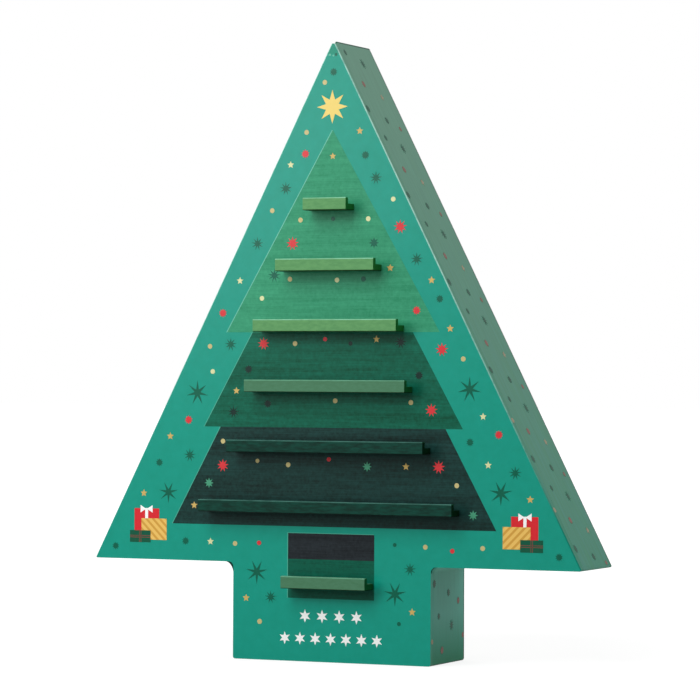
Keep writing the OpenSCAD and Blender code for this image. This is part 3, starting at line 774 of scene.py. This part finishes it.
def plywood(name, axis, first, pitch, thick):
    """Bare birch plywood of three plies, for boards that repeat along an axis: the middle of the
    first board, the pitch and the thickness are given."""
    finish, tree, shader, place = new_finish(name, {"Roughness": 0.6, "IOR": 1.5})
    apart = add_node(tree, "SeparateXYZ", {}, {0: place})
    shifted = add_node(tree, "Math", {"operation": "ADD", 1: pitch / 2 - first},
                       {0: apart.outputs[axis]})
    place_in = add_node(tree, "Math", {"operation": "FLOORED_MODULO", 1: pitch}, {0: shifted})
    from_middle = add_node(tree, "Math", {"operation": "SUBTRACT", 1: pitch / 2}, {0: place_in})
    depth = add_node(tree, "Math", {"operation": "ABSOLUTE"}, {0: from_middle})
    core = add_node(tree, "Math", {"operation": "LESS_THAN", 1: thick * CORE_SHARE}, {0: depth})
    level, upright = ((GRAIN_LENGTH, GRAIN_WIDTH) if axis == "Z" else
                      (GRAIN_WIDTH, GRAIN_LENGTH))
    grain_way = add_node(tree, "Mapping", {"Scale": (1 / level, 1 / level, 1 / upright)},
                         {"Vector": place})
    grain = add_node(tree, "TexNoise", {"Scale": 1, "Detail": 3}, {"Vector": grain_way})
    face = add_node(tree, "Mix", {"data_type": "RGBA", 6: colour("#c9a878"), 7: colour("#dcc096")},
                    {0: grain})
    wood = add_node(tree, "Mix", {"data_type": "RGBA", 7: colour("#a57f4f")},
                    {0: core, 6: face.outputs[2]})
    tree.links.new(wood.outputs[2], shader.inputs["Base Color"])
    bump = add_node(tree, "Bump", {"Strength": 0.3, "Distance": MARK_DEPTH}, {"Height": grain})
    tree.links.new(bump.outputs[0], shader.inputs["Normal"])
    return finish


shelf_ply = plywood("birch_plywood_shelves", "Z", LOWEST_SHELF, ROW_PITCH, SHELF_THICK)
base_ply = plywood("birch_plywood_foot", "Z", SHELF_THICK / 2, ROW_PITCH, SHELF_THICK)
divider_plies = [
    plywood("birch_plywood_dividers_even", "X", 0, CELL_PITCH, DIVIDER_THICK),
    plywood("birch_plywood_dividers_odd", "X", CELL_PITCH / 2, CELL_PITCH, DIVIDER_THICK),
]
for row in range(1, 7):
    nodes[f"row_shelf_{row}"].material_slots[0].material = shelf_ply
    nodes[f"row_dividers_{row}"].material_slots[0].material = divider_plies[row % 2]
nodes["trunk_base"].material_slots[0].material = base_ply
nodes["trunk_dividers"].material_slots[0].material = plywood(
    "birch_plywood_trunk_dividers", "X", TRUNK_PITCH / 2, TRUNK_PITCH, DIVIDER_THICK)

# Each drawer is a tray of thin birch plywood behind a painted front, with a turned beech knob.
# The fronts take the three greens of the print in turn.
FRONT_FROM = 30.95 * MM
KNOB_FROM = 35.05 * MM
TRAY_GRAIN_LENGTH, TRAY_GRAIN_WIDTH = 30 * MM, 2 * MM
SPECKLE_WIDTH, SPECKLE_DEPTH = 1.2 * MM, 0.04 * MM


def drawer_finish(name, code, dark_code):
    """The whole drawer's finish: bare wood in the tray, paint on the front, oiled beech on the
    knob, told apart by their depth."""
    finish, tree, shader, place = new_finish(name, PRINT_GLOSS)
    apart = add_node(tree, "SeparateXYZ", {}, {0: place})
    across, along = 1 / TRAY_GRAIN_WIDTH, 1 / TRAY_GRAIN_LENGTH
    grain_way = add_node(tree, "Mapping", {"Scale": (across, along, across)}, {"Vector": place})
    grain = add_node(tree, "TexNoise", {"Scale": 1, "Detail": 3}, {"Vector": grain_way})
    tray = add_node(tree, "Mix", {"data_type": "RGBA", 6: colour("#c9a878"), 7: colour("#e0c59b")},
                    {0: grain})
    knob = add_node(tree, "Mix", {"data_type": "RGBA", 6: colour("#b98450"), 7: colour("#cf9c66")},
                    {0: grain})
    speckle = add_node(tree, "TexNoise", {"Scale": 1 / SPECKLE_WIDTH, "Detail": 3},
                       {"Vector": place})
    paint = add_node(tree, "Mix", {"data_type": "RGBA", 6: colour(dark_code), 7: colour(code)},
                     {0: speckle})
    past_tray = add_node(tree, "Math", {"operation": "GREATER_THAN", 1: FRONT_FROM},
                         {0: apart.outputs["Y"]})
    past_front = add_node(tree, "Math", {"operation": "GREATER_THAN", 1: KNOB_FROM},
                          {0: apart.outputs["Y"]})
    box = add_node(tree, "Mix", {"data_type": "RGBA"},
                   {0: past_tray, 6: tray.outputs[2], 7: paint.outputs[2]})
    whole = add_node(tree, "Mix", {"data_type": "RGBA"},
                     {0: past_front, 6: box.outputs[2], 7: knob.outputs[2]})
    tree.links.new(whole.outputs[2], shader.inputs["Base Color"])
    bump = add_node(tree, "Bump", {"Strength": 0.3, "Distance": SPECKLE_DEPTH},
                    {"Height": speckle})
    tree.links.new(bump.outputs[0], shader.inputs["Normal"])
    return finish


drawer_finishes = [
    drawer_finish("birch_drawer_painted_teal", "#1b9a87", "#128c78"),
    drawer_finish("birch_drawer_painted_light_green", "#5fa378", "#57996e"),
    drawer_finish("birch_drawer_painted_dark_green", "#1d6b52", "#186149"),
]
for day in range(1, 25):
    nodes[f"drawer_{day:02d}"].material_slots[0].material = drawer_finishes[day % 3]

# A white number on each drawer's front, over the knob, tells the day. It is set in a plain sans
# serif and rides on its drawer.
NUMBER_HEIGHT = 12 * MM
NUMBER_DROP = 15 * MM
number_ink = flat_ink("opaque_ink_white_numbers", "#f2f5f1", "#eaeee9")
for day in range(1, 25):
    low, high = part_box(f"drawer_{day:02d}")
    bpy.ops.object.select_all(action="DESELECT")
    bpy.ops.object.text_add(
        location=((low[0] + high[0]) / 2, BACK_Y - SINK, high[2] - NUMBER_DROP),
        rotation=(math.pi / 2, 0, math.pi))
    label = bpy.context.object
    label.data.body = str(day)
    label.data.size = NUMBER_HEIGHT
    label.data.align_x = "CENTER"
    label.data.extrude = STAR_INK / 2
    bpy.ops.object.convert(target="MESH")
    label = bpy.context.object
    bpy.ops.object.transform_apply(location=True, rotation=True, scale=True)
    bpy.ops.object.mode_set(mode="EDIT")
    bpy.ops.mesh.select_all(action="SELECT")
    bpy.ops.mesh.remove_doubles(threshold=1e-6)
    bpy.ops.transform.translate(value=(0, STAR_INK / 2, 0))
    bpy.ops.mesh.normals_make_consistent(inside=False)
    bpy.ops.object.mode_set(mode="OBJECT")
    label.name = label.data.name = f"number_{day:02d}"
    label.data.materials.clear()
    label.data.materials.append(number_ink)
    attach(label, f"drawer_{day:02d}")

# The studio: a pale floor that runs out of sight, a white surround behind the calendar, a soft
# key lamp high in front and a weak fill lamp lower on the left, which sheens the tip.
FLOOR_SIZE = 40
FLOOR_DROP = 0.1 * MM
SHADE_FROM, SHADE_TO = 0.3, 1.3
LAMP_AIM = Vector((0, FRONT_Y, 0.25))
floor_finish = bpy.data.materials.new("pale_floor")
floor_finish.use_nodes = True
tree = floor_finish.node_tree
tree.nodes.clear()
ray = add_node(tree, "LightPath", {})
matt = add_node(tree, "BsdfDiffuse", {"Color": colour("#8c8c89")})
seen_matt = add_node(tree, "BsdfDiffuse", {"Color": colour("#7c7c7c")})
away = add_node(tree, "VectorMath", {"operation": "LENGTH"},
                {0: add_node(tree, "TexCoord", {}).outputs["Object"]}).outputs["Value"]
fading = add_node(tree, "MapRange", {"From Min": SHADE_FROM, "From Max": SHADE_TO,
                                     "To Min": 0.84, "To Max": 1}, {"Value": away})
glow = add_node(tree, "Emission", {"Color": colour("#ffffff")}, {"Strength": fading})
seen = add_node(tree, "AddShader", {}, {0: seen_matt, 1: glow})
direct = add_node(tree, "Math", {"operation": "MAXIMUM"},
                  {0: ray.outputs["Is Camera Ray"], 1: ray.outputs["Is Glossy Ray"]})
shown = add_node(tree, "Math", {"operation": "MAXIMUM"},
                 {0: direct, 1: ray.outputs["Is Transmission Ray"]})
surface = add_node(tree, "MixShader", {}, {0: shown, 1: matt, 2: seen})
add_node(tree, "OutputMaterial", {}, {"Surface": surface})
bpy.ops.object.select_all(action="DESELECT")
bpy.ops.mesh.primitive_plane_add(size=FLOOR_SIZE, location=(0, 0, -FLOOR_DROP))
floor = bpy.context.object
floor.name = "floor"
floor.data.materials.append(floor_finish)

world = bpy.data.worlds.new("studio")
bpy.context.scene.world = world
world.use_nodes = True
tree = world.node_tree
tree.nodes.clear()
ray = add_node(tree, "LightPath", {})
seen_way = add_node(tree, "TexCoord", {}).outputs["Generated"]
towards = add_node(tree, "SeparateXYZ", {}, {0: seen_way})
surround = add_node(tree, "MapRange", {"From Min": -0.55, "From Max": -0.05, "To Min": 0.02,
                                       "To Max": 1}, {"Value": towards.outputs["Y"]})
level = add_node(tree, "Mix", {"data_type": "FLOAT", 3: 1.0},
                 {0: ray.outputs["Is Camera Ray"], 2: surround})
backdrop = add_node(tree, "Background", {"Color": colour("#ffffff")},
                    {"Strength": level.outputs[0]})
add_node(tree, "OutputWorld", {}, {"Surface": backdrop})


def lamp(name, side, rise, distance, width, watts):
    """A square soft lamp aimed at the middle of the front, so far to the side and up in degrees."""
    data = bpy.data.lights.new(name, "AREA")
    data.shape = "SQUARE"
    data.size = width
    data.energy = watts
    made = bpy.data.objects.new(name, data)
    bpy.context.scene.collection.objects.link(made)
    turn, lift = math.radians(side), math.radians(rise)
    back = Vector((math.sin(turn) * math.cos(lift), -math.cos(turn) * math.cos(lift),
                   math.sin(lift)))
    made.location = LAMP_AIM + back * distance
    made.rotation_mode = "QUATERNION"
    made.rotation_quaternion = back.to_track_quat("Z", "Y")


lamp("key", -10, 42, 2.4, 1.4, 36.5)
lamp("fill", -33.5, 16, 1.8, 0.84, 15.6)

bpy.context.scene.view_settings.view_transform = "Standard"

bpy.context.view_layer.update()
